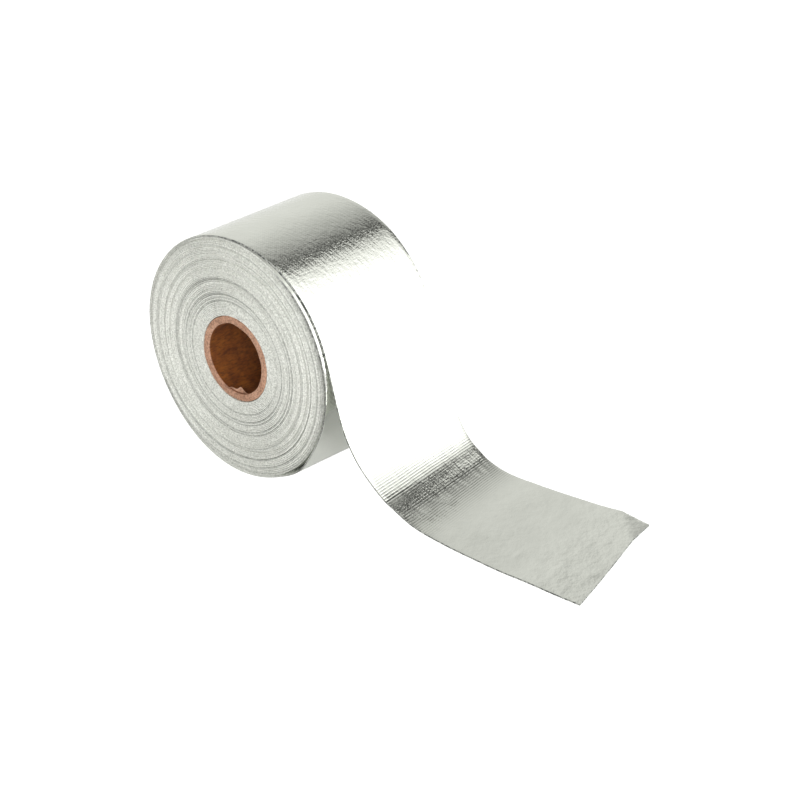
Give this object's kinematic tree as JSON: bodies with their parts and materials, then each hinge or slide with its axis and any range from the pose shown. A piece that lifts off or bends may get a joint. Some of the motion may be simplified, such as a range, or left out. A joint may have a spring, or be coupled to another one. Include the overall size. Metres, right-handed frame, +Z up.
{
  "type": "reflective heat tape roll",
  "caption": "Roll of foil-faced glass-cloth heat tape on a cardboard core, lying on its rim with a free tail that sweeps down and lies flat.",
  "frame": {"origin": "centre of the box that holds the part, on the level surface it lies on", "axes": "+Z up, +Y along the roll's axis from its front end to its back end, +X from the roll towards the tail's cut end"},
  "size_m": [0.1786, 0.052, 0.0833],
  "materials": {
    "foil_face": "bright foil bonded to woven glass cloth, with faint ribs across the tape",
    "glass_cloth": "cut edges and underside of pale grey-green woven glass cloth",
    "kraft_board": "matt brown kraft paper tube, paler on its cut ends"
  },
  "bodies": {
    "root": {"tape": "foil_face", "cardboard_core": "kraft_board"}
  },
  "joints": []
}
